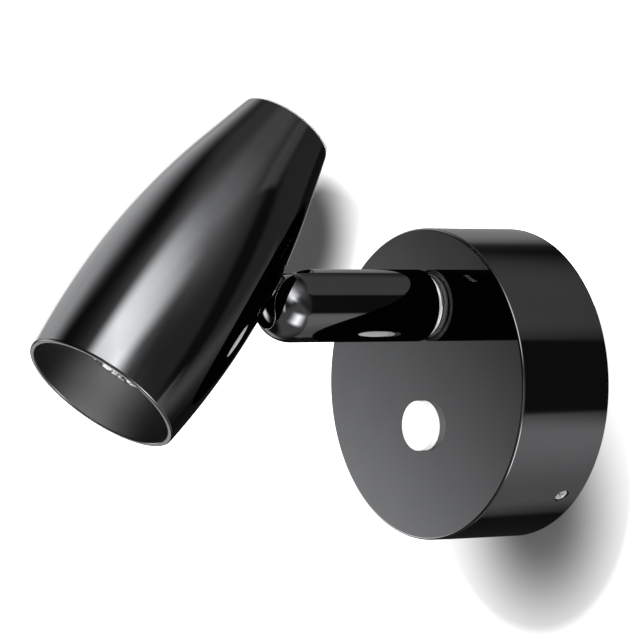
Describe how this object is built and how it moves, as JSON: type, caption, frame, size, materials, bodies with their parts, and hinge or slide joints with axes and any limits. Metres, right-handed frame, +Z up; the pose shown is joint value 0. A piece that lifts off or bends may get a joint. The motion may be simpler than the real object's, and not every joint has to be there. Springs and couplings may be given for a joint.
{
  "type": "pivoting spotlight wall light",
  "caption": "Round wall base with a short turning arm and a barrel-shaped spotlight head that tilts on a slotted ball pivot, with a push button below the arm.",
  "frame": {"origin": "middle of the base's back on the wall plane, on the axis of the cable entry", "axes": "+Y into the wall, -Y out into the room, +Z up, +X to the right of someone facing the wall"},
  "size_m": [0.06, 0.107, 0.0845],
  "materials": {
    "black_chrome": "black chrome plate, mirror polished",
    "plated_steel": "zinc plated steel",
    "bright_nickel": "bright nickel, turned thread",
    "brass": "bare brass",
    "spring_steel": "spring steel",
    "black_rubber": "soft rubber",
    "white_plastic": "milky white plastic",
    "black_plastic": "moulded black plastic",
    "nylon": "natural nylon",
    "clear_lens": "clear moulded optic",
    "green_board": "circuit board with green mask",
    "white_board": "metal cored board with white mask",
    "lamp": "lamp chip under its dome",
    "bare_aluminium": "turned aluminium",
    "red_wire": "silicone insulated wire"
  },
  "bodies": {
    "base": {"base_cover": "black_chrome", "wall_plate": "plated_steel", "cable_grommet": "black_rubber", "cover_set_screws": "plated_steel", "driver_board": "green_board", "board_screws": "plated_steel", "terminal_block": "green_board", "switch_housing": "black_plastic", "stop_pin": "spring_steel", "driver_chip": "black_plastic", "choke": "black_plastic", "capacitor": "bare_aluminium", "base_leads": "red_wire", "glide_washer": "nylon"},
    "button": {"button_cap": "white_plastic", "switch_plunger": "white_plastic"},
    "arm": {"arm_tube": "black_chrome", "swivel_shaft": "bright_nickel", "stop_washer": "spring_steel", "wave_washer": "spring_steel", "shaft_nut": "brass", "friction_cup": "nylon", "pressure_spring": "spring_steel", "arm_leads": "red_wire"},
    "pivot": {"pivot_ball": "black_chrome"},
    "head": {"neck_stud": "black_chrome", "neck_collar": "black_chrome", "saddle_washer": "bare_aluminium", "neck_nut": "brass", "head_shell": "black_chrome", "lens_bezel": "black_plastic", "collimator_lens": "clear_lens", "lens_holder": "black_plastic", "led_board": "white_board", "led_emitter": "lamp", "led_screws": "plated_steel", "heat_sink": "bare_aluminium", "night_light_board": "white_board", "night_light_leds": "lamp", "rear_diffuser": "white_plastic", "head_leads": "red_wire"}
  },
  "joints": [
    {"name": "button_press", "type": "slide", "parent": "base", "child": "button", "axis": [0, 1, 0], "range_m": [0, 0.0004], "stiffness_N_per_m": 2000, "springref_m": -0.0005},
    {"name": "arm_swivel", "type": "hinge", "parent": "base", "child": "arm", "pos_m": [0, -0.0218, 0.0151], "axis": [0, 1, 0], "range_deg": [-165, 165]},
    {"name": "head_tilt", "type": "hinge", "parent": "arm", "child": "pivot", "pos_m": [0, -0.0528, 0.0151], "axis": [-1, 0, 0], "range_deg": [-48.3, 57.7]},
    {"name": "head_turn", "type": "hinge", "parent": "pivot", "child": "head", "pos_m": [0, -0.0528, 0.0151], "axis": [0, -0.7627, 0.6468], "range_deg": [-90, 90]}
  ]
}
